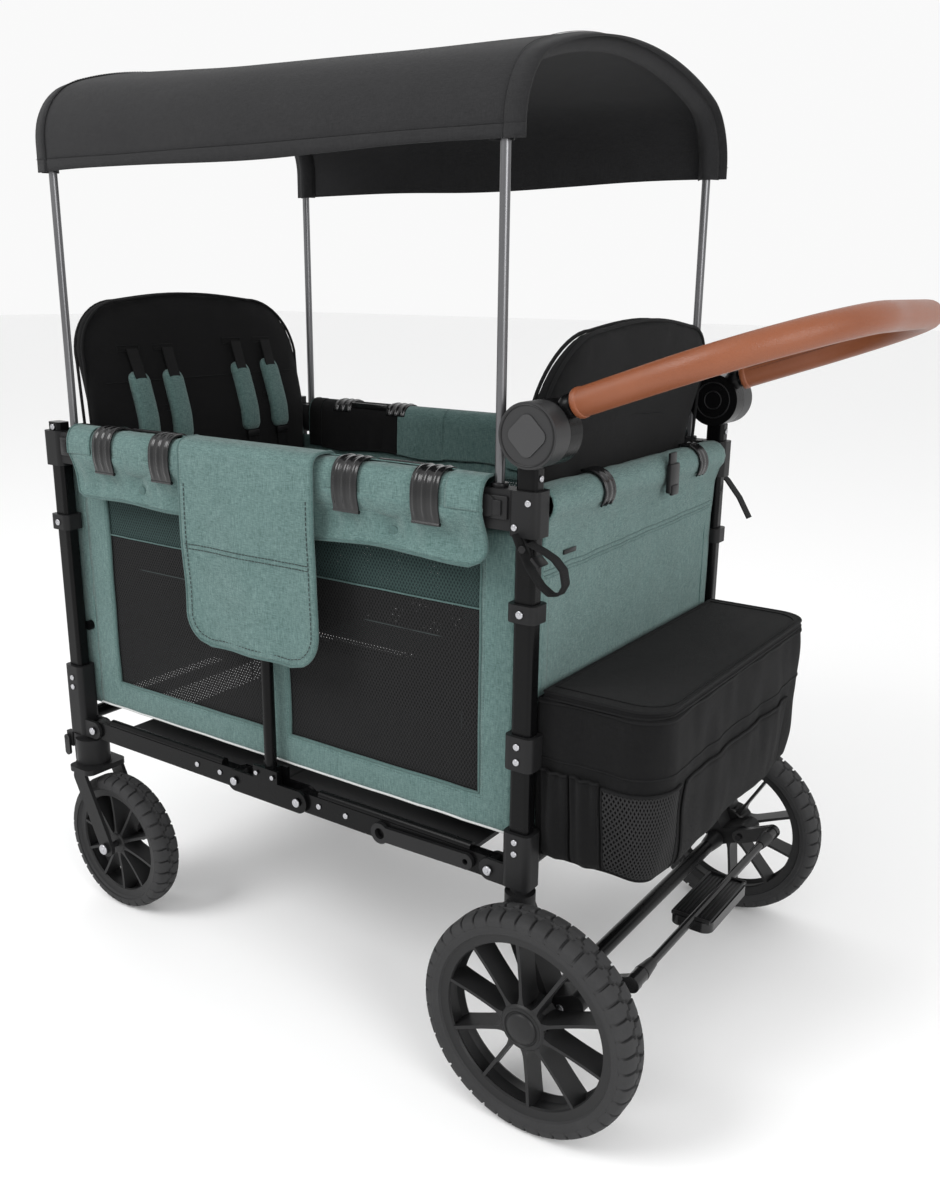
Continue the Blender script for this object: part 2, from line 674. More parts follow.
finished("front_sleeve_seams", front, green_binding, "upper_front_rails", "green_fabric")

# ---- Rail covers ----
# The green cover goes on over each end of the rails and over the joint in the middle,
# and hangs down inside the tub as an apron, which is black along the front half.
corner_place = cover_point(sleeve_box[1].x - 0.010, rear_x - 0.052, 0.0010)
corner_cover = grid(12, 50, corner_place)
corner_hem = bmesh.new()
strand(corner_hem, [corner_place(1, i / 50) for i in range(51)], 0.0021)
for part, flip in both_ends:
    for side, across in both_sides:
        cover = finished(f"{part}_{side}_corner_cover", mirrored(corner_cover, across, flip), green, None,
                         "green_fabric")
        thicken(cover, 0.0014)
        ends = [(2 * mid_x - x if flip else x, 0, rail_z)
                for x in (sleeve_box[1].x - 0.002, rear_x - 0.054)]
        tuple(ends[0])
        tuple(ends[1])
        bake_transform(cover)
        hem_piece = finished(f"{part}_{side}_corner_hem", mirrored(corner_hem, across, flip),
                             green_binding, f"{part}_frame", "green_fabric")
        if flip:
            dark = grid(12, 34, cover_point(sleeve_box[1].x + 0.0125, rear_x - 0.053, 0.0026, 0.24))
            dark_piece = finished(f"front_{side}_dark_corner", mirrored(dark, across, True), black_cloth,
                                  "front_frame", "black_fabric")
            dark.free()
            thicken(dark_piece, 0.0012)
corner_cover.free()
corner_hem.free()
half_gap = sleeve_box[0].x - mid_x
centre_cover = grid(20, 50, cover_point(mid_x - half_gap - 0.008, mid_x + half_gap + 0.008, 0.0008, 0.56))
for side, across in both_sides:
    cover = finished(f"centre_{side}_cover", mirrored(centre_cover, across), green, "centre_frame",
                     "green_fabric")
    thicken(cover, 0.0012)
centre_cover.free()
black_end = 2 * mid_x + 0.324
for part, flip in both_ends:
    spans = [("apron", sleeve_box[0].x + 0.001, sleeve_box[1].x - 0.001, green, green_binding,
              "green_fabric")]
    if flip:
        spans = [("dark_apron", black_end, sleeve_box[1].x + 0.012, black_cloth, webbing, "black_fabric"),
                 ("apron", sleeve_box[0].x + 0.001, black_end - 0.001, green, green_binding,
                  "green_fabric")]
    for key, x0, x1, cloth, edge_finish, slot_name in spans:
        place = cover_point(x0, x1, 0.0016, 0.24)
        apron = grid(60, 34, place)
        hem = bmesh.new()
        strand(hem, [place(i / 60, 0) for i in range(61)], 0.0018)
        for side, across in both_sides:
            piece = finished(f"{part}_{side}_{key}", mirrored(apron, across, flip), cloth,
                             f"upper_{part}_rails", slot_name)
            thicken(piece, 0.0014)
            hem_piece = finished(f"{part}_{side}_{key}_hem", mirrored(hem, across, flip), edge_finish,
                                 f"upper_{part}_rails", slot_name)
            x1 - x0
        apron.free()
        hem.free()

# ---- Rail clips ----
# Glossy black C-shaped clips, three ribs across each, with a flared lower lip. A flat
# bar inside the tub joins the two clips of a pair.
gloss_black = hard_finish("gloss_black_moulding", (0.004, 0.004, 0.0044), (0.009, 0.009, 0.0094), 0.2, 700,
                          0.00006, Specular_IOR_Level=0.4)


def clip_point(centre):
    """u runs across the clip's width, v round the sleeve from inside over the top to the lower lip."""
    def place(u, v):
        rib = max(0.0, cos(6 * pi * (u - 0.5))) ** 2 * min(1.0, (1 - v) / 0.12)
        out = 0.0026 + 0.0015 * rib + 0.003 * max(0.0, v - 0.92) / 0.08
        p = oblong((0.06 + 0.57 * v) % 1.0, sleeve_w + out, sleeve_h + out)
        return Vector((centre - clip_half + 2 * clip_half * u, -post_y + p.y, sleeve_z + p.z))
    return place


shells = [grid(24, 30, clip_point(centre)) for centre in clips]
lips = bmesh.new()
for centre in clips:
    strand(lips, [clip_point(centre)(i / 6, 1.0) for i in range(7)], 0.0026)
for (part, flip), lip, shell in zip(both_ends, four_corners(lips), four_corners(joined(*shells))):
    rails = f"upper_{part}_rails"
    finished(f"{part}_clip_lips", lip, gloss_black, rails, "black_plastic")
    piece = finished(f"{part}_clips", shell, gloss_black, rails, "black_plastic", [f"{part}_rail_clips"],
                     50)
    thicken(piece, 0.0026)
    modify(piece, "BEVEL", width=0.0007, segments=2, limit_method="ANGLE", angle_limit=radians(50))
bm = bmesh.new()
slab(bm, (clips[0] - clips[1] - 2 * clip_half, 0.004, 0.011),
     ((clips[0] + clips[1]) / 2, -post_y + 0.0205, sleeve_z + 0.029), 0.0015)
both, front = four_corners(bm)
finished("rear_clip_bars", both, gloss_black, "upper_rear_rails", "black_plastic")
finished("front_clip_bars", front, gloss_black, "upper_front_rails", "black_plastic")

# ---- Side panels ----
# Green fabric walls with a net window at each end: a dark green band of net above a
# coarse black one. The windows are bound, and the rail cover hangs over the wall's top,
# snapped down twice and gathered to a piped hem.


def netting(name, dark, light, pitch, thread):
    """A knitted net: slanted threads round open diamonds."""
    f = Finish(name, dark, 0.8)
    split = f.add("SeparateXYZ", {}, [f.place], 0)
    x, y, z = split, Value(f, split.socket.node.outputs[1]), Value(f, split.socket.node.outputs[2])
    a = (x + y + z * 0.62) * (pi / pitch)
    b = (x + y - z * 0.62) * (pi / pitch)
    near_thread = a.math("MINIMUM", abs(a.math("SINE", a)), abs(b.math("SINE", b)))
    f.feed(f.shader["Alpha"], near_thread < thread)
    f.shader["Specular IOR Level"].default_value = 0.15
    f.colour(f.mix((near_thread < 0.6) * (0.55 + f.noise(300) * 0.45), dark, light))
    f.bump(near_thread, 0.0006)
    return f


black_net = netting("black_net", (0.003, 0.003, 0.0032), (0.018, 0.018, 0.0185), 0.0052, 0.97)
green_net = netting("green_net", (0.010, 0.018, 0.018), (0.034, 0.060, 0.057), 0.0052, 0.98)
side_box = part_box("side_panel_near")
wall_y = side_box[0].y + 0.0012
wall_top = side_box[1].z
windows = [(mid_x + 0.024, rear_x - 0.078), (front_x + 0.078, mid_x - 0.024)]
window_z0, window_z1, net_split = 0.392, 0.703, 0.640


def wall_point(x, z, inset=0.0):
    """A point on the near wall, which is a little uneven and bows out between its edges."""
    u = (x - side_box[0].x) / (side_box[1].x - side_box[0].x)
    w = (z - side_box[0].z) / (wall_top - side_box[0].z)
    bow = 0.0012 * sin(pi * clamp(w)) * abs(sin(2 * pi * u))
    return Vector((x, wall_y + inset - bow + abs(ripple(x, 0, z, 11, 0.003)), z))


def window_corners(a, b, margin, head):
    """A window's corners, or those of a line so far outside it."""
    low, high = window_z0 - margin, window_z1 + head
    return [(a - margin, low), (b + margin, low), (b + margin, high), (a - margin, high)]


def around(corners, count):
    """Points round a closed outline, so many along each of its sides."""
    return [(p[0] + (q[0] - p[0]) * i / count, p[1] + (q[1] - p[1]) * i / count)
            for p, q in zip(corners, corners[1:] + corners[:1]) for i in range(count)]


def spread(stops, count):
    """Positions between stops, about evenly spaced."""
    out = []
    for a, b in zip(stops, stops[1:]):
        n = max(1, round(count * (b - a) / (stops[-1] - stops[0])))
        out += [a + (b - a) * i / n for i in range(n)]
    return out + [stops[-1]]


xs = spread([side_box[0].x, windows[1][0], windows[1][1], windows[0][0], windows[0][1], side_box[1].x], 90)
zs = spread([side_box[0].z, window_z0, window_z1, wall_top], 42)
wall = grid(len(xs) - 1,
            len(zs) - 1, lambda u, v: wall_point(xs[round(u * (len(xs) - 1))],
                                                 zs[round(v * (len(zs) - 1))]))
holes = [f for f in wall.faces if window_z0 < f.calc_center_median().z < window_z1
         and any(a < f.calc_center_median().x < b for a, b in windows)]
bmesh.ops.delete(wall, geom=holes, context="FACES")
panes, bands, binding, seams_bm = [], [], bmesh.new(), bmesh.new()
for a, b in windows:
    panes.append(grid(40,
                      30, lambda u, v: wall_point(a - 0.003 + (b - a + 0.006) * u,
                                                  window_z0 - 0.003 + (net_split - window_z0 + 0.003) * v,
                                                  0.0022)
                      + Vector((0, 0.004 * sin(pi * u) * sin(pi * v), 0))))
    bands.append(grid(40,
                      8, lambda u, v: wall_point(a - 0.003 + (b - a + 0.006) * u,
                                                 net_split + (window_z1 + 0.003 - net_split) * v, 0.0022)))
    rim = around(window_corners(a, b, 0, 0), 14)
    strand(binding, [wall_point(x, z, -0.0002) for x, z in rim], 0.0021, True)
    strand(binding, [wall_point(a + (b - a) * i / 20, net_split, 0.0008) for i in range(21)], 0.0012)
    outer = around(window_corners(a, b, 0.006, 0.004), 20)
    for k in range(0, 80, 20):
        row = outer[k:k + 20] + [outer[(k + 20) % 80]]
        stitches(seams_bm, [wall_point(x, z, -0.0004) for x, z in row], 0.0052, 0.0034, 0.0005)
    # A flat pocket shows through the net: its top edge and its two sides
    pocket = [(a + 0.030, window_z0 + 0.004), (a + 0.030, 0.560), (a + 0.060, 0.592), (b - 0.060, 0.592),
              (b - 0.030, 0.560), (b - 0.030, window_z0 + 0.004)]
    strand(seams_bm, [wall_point(x, z, 0.0045) for x, z in pocket], 0.0010)
hem = bmesh.new()
strand(hem, [wall_point(x, side_box[0].z + 0.0015, -0.0004) for x in xs], 0.0018)
mouldings = {"wall": (wall, green), "black_net": (joined(*panes), black_net),
             "green_net": (joined(*bands), green_net),
             "window_binding": (binding, green_binding), "stitching": (seams_bm, thread_dark),
             "bottom_piping": (hem, pale_piping)}


cover_x1 = rear_x - 0.052


def skirt_point(u, v):
    """The rail cover's hanging part, from the padded rail's outer face to its piped hem."""
    fall = 0.076 - 0.070 * v
    cut = 0.022 - sqrt(max(0.0, 0.022 ** 2 - max(0.0, 0.028 - fall) ** 2))
    x0, x1 = 2 * mid_x - cover_x1 + cut, cover_x1 - cut
    x = x0 + (x1 - x0) * u
    loose = sin(pi * min(1.0, 0.15 + 0.85 * v)) ** 0.8
    pucker = ripple(x, 0, 0, 19, 0.0090, 2.0) * (0.2 + 0.8 * v) + ripple(x, 0, v * 0.05, 46, 0.0048)
    for snap in snaps:
        pucker += 0.004 * exp(-((x - snap) / 0.012) ** 2) * (1 if v > 0.3 else 0)
    under = sin(pi / 2 * min(1.0, v / 0.68)) ** 2
    hem_out = 0.0065 * exp(-((1 - v) / 0.16) ** 2)
    y = -post_y - 0.0243 + 0.0022 * max(0.0, 1 - v / 0.08) + 0.0150 * under - hem_out + pucker * loose
    return Vector((x, max(y, -post_y - 0.0295), 0.700 + fall + ripple(x, 0, 0, 8, 0.006) * v))


snaps = [(clips[0] + clips[1]) / 2, 2 * mid_x - (clips[0] + clips[1]) / 2]
skirt = grid(220, 14, skirt_point)
piping = bmesh.new()
strand(piping,
       [skirt_point(0, i / 12) for i in range(12)] + [skirt_point(i / 200, 1.0) for i in range(201)]
       + [skirt_point(1, 1 - i / 12) for i in range(1, 13)], 0.0021)
for snap in snaps:
    at = skirt_point((snap - (2 * mid_x - cover_x1)) / (2 * (cover_x1 - mid_x)), 0.72)
    round_bar(piping, at - Vector((0, 0.0012, 0)), (0, 1, 0), 0.0075, 0.0028, 0.001, 24)
mouldings["skirt"] = (skirt, green)
mouldings["skirt_piping"] = (piping, green_binding)
for side, flip in both_sides:
    made = {}
    for key, (mesh, finish) in mouldings.items():
        made[key] = finished(f"{side}_{key}", mirrored(mesh, y=True) if flip else mesh.copy(), finish,
                             "rear_frame", "green_fabric",
                             [f"side_panel_{side}"] if key == "wall" else ())
    thicken(made["wall"], 0.0016)
    thicken(made["skirt"], 0.0014)
    for key, piece in made.items():
        end = cover_x1 if key.startswith("skirt") else side_box[1].x
        1 - fold_travel / (2 * (end - mid_x))
        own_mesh(piece)
    wide = sum(b - a + 0.006 for a, b in windows)
for mesh, finish in mouldings.values():
    mesh.free()

# ---- Side flap ----
# A flap of the same green fabric laid over the near rail, bound round its edge,
# with dark dashed stitching inside the binding and a double seam across it.
flap_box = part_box("side_flap")
flap_x0, flap_x1 = flap_box[0].x, flap_box[1].x
flap_w = flap_x1 - flap_x0
flap_top = flap_box[1].z + 0.001
flap_y = flap_box[0].y - 0.0005
flap_in = flap_box[1].y
over = [(0, flap_in, flap_top - 0.006), (0, flap_in - 0.006, flap_top), (0, flap_y + 0.016, flap_top),
        (0, flap_y + 0.006, flap_top - 0.003), (0, flap_y, flap_top - 0.012),
        (0, flap_y - 0.002, flap_top - 0.10), (0, flap_y + 0.002, flap_box[0].z + 0.05),
        (0, flap_y + 0.001, flap_box[0].z)]
flap_len = line_length(over)
round_r = 0.048


def flap_point(u, v, proud=0.0, inset=0.0):
    """u runs across the flap, v from its inner edge over the rail and down."""
    v = inset / flap_len + v * (1 - 2 * inset / flap_len)
    p = along_line(over, v)
    left = (1 - v) * flap_len
    r = round_r - inset
    half = flap_w / 2 - inset
    deep = left - inset
    if deep < r:
        half = half - r + sqrt(max(0.0, r * r - (r - deep) ** 2))
    x = (flap_x0 + flap_x1) / 2 + (2 * u - 1) * half
    hang = clamp((v - 0.3) / 0.4)
    y = p.y - 0.0022 * hang * cos(3.2 * pi * (u - 0.5)) + ripple(x, 0, p.z, 14, 0.003) * hang
    return Vector((x, y - proud * (1 if v > 0.28 else 0), p.z + proud * (1 if v <= 0.28 else 0)))


flap = finished("flap_cloth", grid(40, 60, flap_point), green, "centre_frame", "green_fabric",
                ["side_flap"])
thicken(flap, 0.0022)
edge = [flap_point(0, i / 60) for i in range(61)] + [flap_point(i / 12, 1) for i in range(1, 12)]
edge += [flap_point(1, 1 - i / 60) for i in range(61)]
bm = bmesh.new()
strand(bm, edge, 0.0022)
flap_edge = finished("flap_binding", bm, green_binding, "centre_frame", "green_fabric")
bm = bmesh.new()
inner = [flap_point(0, 0.3 + 0.7 * i / 50, 0.0016, 0.010) for i in range(51)]
inner += [flap_point(i / 10, 1, 0.0016, 0.010) for i in range(1, 10)]
inner += [flap_point(1, 1 - 0.7 * i / 50, 0.0016, 0.010) for i in range(51)]
stitches(bm, inner, 0.0068, 0.0042, 0.00065)
for v in (0.565, 0.585):
    stitches(bm, [flap_point(0.035 + 0.93 * i / 30, v, 0.0016) for i in range(31)], 0.0060, 0.0042, 0.0006)
flap_thread = finished("flap_stitching", bm, thread_dark, "centre_frame", "green_fabric")

# ---- End walls ----
# The tub's front and rear walls: green fabric rolled over the top cross tube, with a
# double seam below the roll. Small C clips hold the rear roll, and a buckle the seat back.
roll_r = 0.0222
panel_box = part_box("rear_panel")
wall_line = [(0.0035, 0, panel_box[0].z), (0.0040, 0, 0.50), (0.005, 0, 0.68), (0.0090, 0, rail_z - 0.036)]
wall_line += [(roll_r * cos(t), 0, rail_z + roll_r * sin(t))
              for t in [radians(-50 + 285 * i / 26) for i in range(27)]]
wall_line += [(-0.0065, 0, rail_z - 0.028), (-0.0045, 0, 0.68)]
panel_half = panel_box[1].y
clip_ys, buckle_y = (-0.124, 0.166), 0.056


def end_wall(u, v, proud=0.0):
    """u runs from side to side, v from the wall's foot up and over the roll. It bellies out a little."""
    p = along_line(wall_line, v)
    y = -panel_half + 2 * panel_half * u
    low = clamp((rail_z - 0.03 - p.z) / 0.3) if v < 0.7 else 0.0
    x = p.x + (ripple(0, y, p.z, 12, 0.0030) - 0.0012 * sin(pi * u)) * low
    x += ripple(0, y, p.z, 30, 0.0016) * (1 - low)
    if v < 0.55:
        for hook in (*clip_ys, buckle_y):
            fan = atan2(y - hook, max(rail_z + 0.01 - p.z, 0.01))
            near_hook = exp(-((y - hook) / 0.06) ** 2 - ((rail_z - 0.03 - p.z) / 0.06) ** 2)
            x += 0.0024 * sin(9 * fan) * near_hook
    return Vector((x + proud, y, p.z + ripple(0, y, p.z, 24, 0.0016, 5) * (1 - low)))


def seam_across(z):
    """A seam across the wall from a height on its near side, rising a little to the far side."""
    foot = panel_box[0].z
    return [end_wall(0.015 + 0.97 * i / 60, (z - foot + 0.012 * i / 60) / line_length(wall_line), 0.0012)
            for i in range(61)]


# A cover strip at each corner carries the wall's fabric round behind the post
corner_line = [(-0.0275, -0.2532, 0), (-0.010, -0.2536, 0), (0.001, -0.2520, 0), (0.0052, -0.2450, 0),
               (0.0058, -0.232, 0)]


def corner_point(u, v):
    p = along_line(corner_line, u)
    return Vector((p.x, p.y, panel_box[0].z + (rail_z - 0.022 - panel_box[0].z) * v))


for part, flip in both_ends:
    sheet_bm = grid(70, 60, end_wall)
    corners = grid(14, 20, corner_point)
    corners = joined(corners.copy(), mirrored(corners, y=True))
    trim = bmesh.new()
    for z in (0.700, 0.694):
        strand(trim, seam_across(z), 0.0009)
    stitches(trim, seam_across(0.690), 0.0055, 0.0036, 0.0005)
    strand(trim, [end_wall(i / 40, 0.003, 0.0004) for i in range(41)], 0.0017)
    for mesh in (sheet_bm, corners, trim):
        bmesh.ops.translate(mesh, vec=(rear_x, 0, 0), verts=mesh.verts[:])
    if flip:
        sheet_bm, corners, trim = (mirrored(m, x=True) for m in (sheet_bm, corners, trim))
    body = f"{part}_frame"
    piece = finished(f"{part}_wall", sheet_bm, green, body, "green_fabric", [f"{part}_panel"], 70)
    thicken(piece, 0.0020)
    seam_piece = finished(f"{part}_wall_seams", trim, green_binding, body, "green_fabric")
    line_length(wall_line)
    corner_piece = finished(f"{part}_wall_corners", corners, green, body, "green_fabric")
    thicken(corner_piece, 0.0014)
    2 * line_length(corner_line)

bm = bmesh.new()
for y in clip_ys:
    def roll_clip(u, v, y=y):
        r, a = 0.0262 + 0.0008 * cos(4 * pi * u), radians(-40 + 150 * v)
        return Vector((rear_x + r * cos(a), y - 0.013 + 0.026 * u, rail_z + r * sin(a)))
    bm = joined(bm, grid(8, 26, roll_clip))
clip_piece = finished("rear_wall_clips", bm, gloss_black, "rear_frame", "black_plastic",
                      ["rear_panel_clips"])
thicken(clip_piece, 0.0028)
bm = bmesh.new()
slab(bm, (0.007, 0.030, 0.040), (rear_x + 0.0285, buckle_y, rail_z - 0.006), 0.002)
slab(bm, (0.005, 0.022, 0.014), (rear_x + 0.0315, buckle_y, rail_z - 0.022), 0.0018)
slab(bm, (0.004, 0.020, 0.050), (rear_x + 0.0265, buckle_y, rail_z + 0.004), 0.001)
slab(bm, (0.002, 0.030, 0.006), (rear_x + 0.0098, -0.192, 0.716), 0.0008)
finished("rear_wall_buckle", bm, moulded, "rear_frame", "black_plastic")

# ---- Padded seat backs ----
# Black foam pads with round shoulders that stand at each end of the tub and lean out
# over the wall, edged with piping, with bound slots for the shoulder straps.


def evaluated(piece):
    return bpy.data.meshes.new_from_object(piece.evaluated_get(bpy.context.evaluated_depsgraph_get()))


def puffed(bm, pressure, cap, voxel, way):
    """Fills a closed form as padding under its cover: the cover swells along way, and its rim stays."""
    mesh = bpy.data.meshes.new("pad")
    bm.to_mesh(mesh)
    bm.free()
    pad = bpy.data.objects.new("pad", mesh)
    scene.collection.objects.link(pad)
    modify(pad, "REMESH", mode="VOXEL", voxel_size=voxel)
    bpy.context.view_layer.update()
    even = evaluated(pad)
    pad.modifiers.clear()
    pad.data = even
    start = [v.co.copy() for v in even.vertices]
    cloth = pad.modifiers.new("Cloth", "CLOTH")
    springs = {"tension_stiffness": 8, "compression_stiffness": 8, "bending_stiffness": 0.4}
    air = {"use_pressure": True, "uniform_pressure_force": pressure}
    for key, value in {**air, **springs, "quality": 4}.items():
        setattr(cloth.settings, key, value)
    cloth.settings.effector_weights.gravity = 0
    cloth.point_cache.frame_start = 1
    cloth.point_cache.frame_end = 20
    for number in range(1, 21):
        scene.frame_set(number)
    swollen = evaluated(pad)
    pad.modifiers.clear()
    for v, rest, new in zip(even.vertices, start, swollen.vertices):
        move = new.co - rest
        v.co = rest + move * way * min(1.0, cap / max(move.length, 1e-9))
    scene.frame_set(1)
    out = bmesh.new()
    out.from_mesh(even)
    bpy.data.objects.remove(pad)
    for _ in range(2):
        bmesh.ops.smooth_vert(out, verts=out.verts[:], factor=0.5, use_axis_x=True, use_axis_y=True,
                              use_axis_z=True)
    return out


back_z0, lean_z, lean = 0.503, rail_z + 0.024, 44 / 181


def back_outline(half, top, r, steps=12):
    """The pad's edge in the upright plane, from the near foot over both shoulders."""
    right = [(half * 0.97, back_z0), (half, back_z0 + 0.1), (half, top - r)]
    right += [(half - r + r * cos(t), top - r + r * sin(t))
              for t in [pi / 2 * i / steps for i in range(1, steps + 1)]]
    right += [((half - r) * (1 - i / 6), top + 0.011 * sin(pi / 2 * i / 6)) for i in range(1, 7)]
    return [(-y, z) for y, z in right] + right[-2::-1]


def leaned(p, base):
    """Stands an upright pad's point at the rear wall, leaning out above the roll."""
    out = max(0.0, p.z - lean_z)
    soft = out * out / (out + 0.02)
    return Vector((base + p.x + lean * soft, p.y, p.z - 0.03 * soft))


# Each strap's slot, then its pad's top and bottom, across and up
straps_at = [(-0.152, 0.925, -0.146, 0.888, -0.140, 0.768), (-0.080, 0.925, -0.076, 0.888, -0.070, 0.768),
             (0.075, 0.930, 0.078, 0.893, 0.088, 0.770), (0.147, 0.930, 0.150, 0.896, 0.162, 0.770)]


def seat_back(half, top):
    """Pad, and its piping with the slots' bindings, both at the rear wall."""
    bm = bmesh.new()
    outline = back_outline(half - 0.001, top, 0.095)
    face = bm.faces.new([bm.verts.new((-0.0235, y, z)) for y, z in outline])
    made = bmesh.ops.extrude_face_region(bm, geom=[face])
    bmesh.ops.translate(bm, vec=(0.018, 0, 0),
                        verts=[v for v in made["geom"] if isinstance(v, bmesh.types.BMVert)])
    bmesh.ops.recalc_face_normals(bm, faces=bm.faces[:])
    pad = puffed(bm, 4, 0.007, 0.0065, Vector((1, 0.1, 0.1)))
    base = rear_x - roll_r - 0.0015
    for v in pad.verts:
        v.co.x += 0.0012 * sin(v.co.y * 2 * pi / 0.22) * sin(v.co.z * 2 * pi / 0.3)
        v.co = leaned(v.co, base)
    trim = bmesh.new()
    piped = back_outline(half - 0.0028, top - 0.0018, 0.095)
    for depth in (-0.0235, -0.0068):
        strand(trim, [leaned(Vector((depth, y, z)), base) for y, z in piped], 0.0024)
    seam_z = 0.872
    across = [-half + 0.03 + (2 * half - 0.06) * i / 30 for i in range(31)]
    strand(trim, [leaned(Vector((-0.0315, y, seam_z)), base) for y in across], 0.0010)
    slot_corners = [(-1, -1), (1, -1), (1, 1), (-1, 1)]
    for y, z in [(slot[0], slot[1] - drop) for drop in (0, 0.10) for slot in straps_at]:
        slot_edge = [leaned(Vector((-0.0300, y + a * 0.021, z + b * 0.0045)), base)
                     for a, b in slot_corners]
        strand(trim, slot_edge, 0.0014, True)
    # Zip and seam of the pocket on the back
    for z in (0.905, 0.912, 0.850):
        arc = [Vector((0.0002, -0.17 + 0.34 * i / 30, z + 0.014 * sin(pi * i / 30))) for i in range(31)]
        strand(trim, [leaned(p, base) for p in arc], 0.0013)
    return pad, trim, base


strap_w = 0.022
for part, half, top in (("rear", 0.226, 0.981), ("front", 0.239, 1.003)):
    pad, trim, base = seat_back(half, top)
    # Shoulder straps: green pads on black webbing that ends in a buckle, two for each child
    pads, straps, buckles = bmesh.new(), bmesh.new(), bmesh.new()
    for y0, z0, y1, z1, y2, z2 in straps_at:
        def ribbon(width, path, out, thick, n=24):
            def place(u, v):
                p = along_line(path, v)
                ease = rounded_off(v, 0.14) if thick > 0.002 else 1.0
                crown = thick * (max(0.0, 1 - (2 * u - 1) ** 4) ** 0.5) * ease
                return leaned(Vector((out - crown, p.y + (u - 0.5) * width * (0.45 + 0.55 * ease), p.z)),
                              base)
            return grid(10, n, place)

        foot = (0, y2 + (0.012 if y2 > 0 else -0.004), 0.600)
        upper = ribbon(strap_w, [(0, y0, z0), (0, y1, z1 - 0.012)], -0.0400, 0.0)
        lower = ribbon(strap_w, [(0, y2, z2 + 0.006), foot], -0.0345, 0.0)
        straps = joined(straps, upper, lower)
        pads = joined(pads, ribbon(0.042, [(0, y1, z1), (0, y2, z2)], -0.0320, 0.0095, 30))
        slab(buckles, (0.004, 0.028, 0.010), leaned(Vector((-0.0375, y2, z2 - 0.004)), base), 0.0014)
    for child in (-0.110, 0.118):
        slab(buckles, (0.009, 0.046, 0.040), Vector((base - 0.041, child, 0.585)), 0.003)
    body = f"{part}_frame"
    if part == "front":
        pad, trim, pads, straps, buckles = (mirrored(m, x=True) for m in (pad, trim, pads, straps, buckles))
    pad_piece = finished(f"{part}_back_pad", pad, black_cloth, body, "black_fabric", [f"{part}_seat_back"],
                         80)
    finished(f"{part}_back_piping", trim, webbing, body, "black_fabric")
    shoulder = finished(f"{part}_shoulder_pads", pads, green, body, "green_fabric", [f"{part}_harness"], 60)
    thicken(shoulder, 0.004, -1.0)
    strap_piece = finished(f"{part}_shoulder_straps", straps, webbing, body, "webbing")
    thicken(strap_piece, 0.0014)
    finished(f"{part}_harness_buckles", buckles, moulded, body, "black_plastic")

# ---- Seat pads ----
# Black padded benches on the seat bars, crowned on top, with a seam between the two
# children's places and piping round the upper edge.
seat_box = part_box("rear_seat")
seat_x0, seat_x1 = seat_box[0].x, seat_box[1].x - 0.034
seat_y1 = seat_box[1].y
seat_z0, seat_z1 = 0.460, seat_box[1].z
bm = bmesh.new()
slab(bm, (seat_x1 - seat_x0 - 0.008, 2 * seat_y1 - 0.008, seat_z1 - seat_z0 - 0.006),
     ((seat_x0 + seat_x1) / 2, 0, (seat_z0 + seat_z1) / 2 - 0.001), 0.008)
pad = puffed(bm, 4, 0.007, 0.0065, Vector((0.1, 0.1, 1)))
for v in pad.verts:
    if v.co.z > seat_z1 - 0.012:
        v.co.z -= 0.005 * exp(-(v.co.y / 0.008) ** 2)
    v.co.z = max(v.co.z, seat_z0 - 0.002)
trim = bmesh.new()
rim_in = 0.004
rim_x0, rim_x1, rim_y = seat_x0 + rim_in, seat_x1 - rim_in, seat_y1 - rim_in
rim = around([(rim_x0, -rim_y), (rim_x1, -rim_y), (rim_x1, rim_y), (rim_x0, rim_y)], 10)
strand(trim, [Vector((x, y, seat_z1 - 0.003)) for x, y in rim], 0.0022, True)
knuckles = bmesh.new()
for y in (-0.18, 0.18):
    round_bar(knuckles, (rear_x - 0.070, y, 0.480), (0, 1, 0), 0.0128, 0.040, 0.002, 28)
    slab(knuckles, (0.030, 0.038, 0.014), (rear_x - 0.086, y, 0.478), 0.002)
for part in ("rear", "front"):
    made = [m.copy() if part == "rear" else mirrored(m, x=True) for m in (pad, trim, knuckles)]
    seat = finished(f"{part}_seat_pad", made[0], black_cloth, f"{part}_seat", "black_fabric",
                    [f"{part}_seat"], 80)
    finished(f"{part}_seat_piping", made[1], webbing, f"{part}_seat", "black_fabric")
    finished(f"{part}_seat_knuckles", made[2], nylon, f"{part}_seat", "black_plastic")
for mesh in (pad, trim, knuckles):
    mesh.free()

# ---- Floor boards ----
# Two stiff black boards covered in pebbled sheet, laid on the lower rails' cross bars.
board = hard_finish("pebbled_board", (0.010, 0.010, 0.0105), (0.022, 0.022, 0.023), 0.6, 420, 0.0004)
paint(board, "rear_floor", "front_floor")

# ---- Rear basket ----
# A black fabric box hung on the rear frame: stiffened walls that bow and crease a
# little, pleated pockets, a net pocket at the near corner and a wide pocket behind.
basket_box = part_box("basket_body")
bx0, bx1, by1 = basket_box[0].x, basket_box[1].x, basket_box[1].y
bz0, bz1 = basket_box[0].z, basket_box[1].z
basket_r = 0.042


def basket_plan(inset=0.0):
    """The basket's outline from above, from its front near corner round the back."""
    r = basket_r - inset
    right = [(bx1 - basket_r + r * cos(t), -by1 + basket_r + r * sin(t))
             for t in [-pi / 2 + pi / 2 * i / 8 for i in range(9)]]
    near_side = [(bx0 + 0.001, -by1 + inset)] + right
    return [Vector((x, y, 0)) for x, y in near_side + [(x, -y) for x, y in near_side[::-1]]]


basket_line = basket_plan()
basket_len = line_length(basket_line)


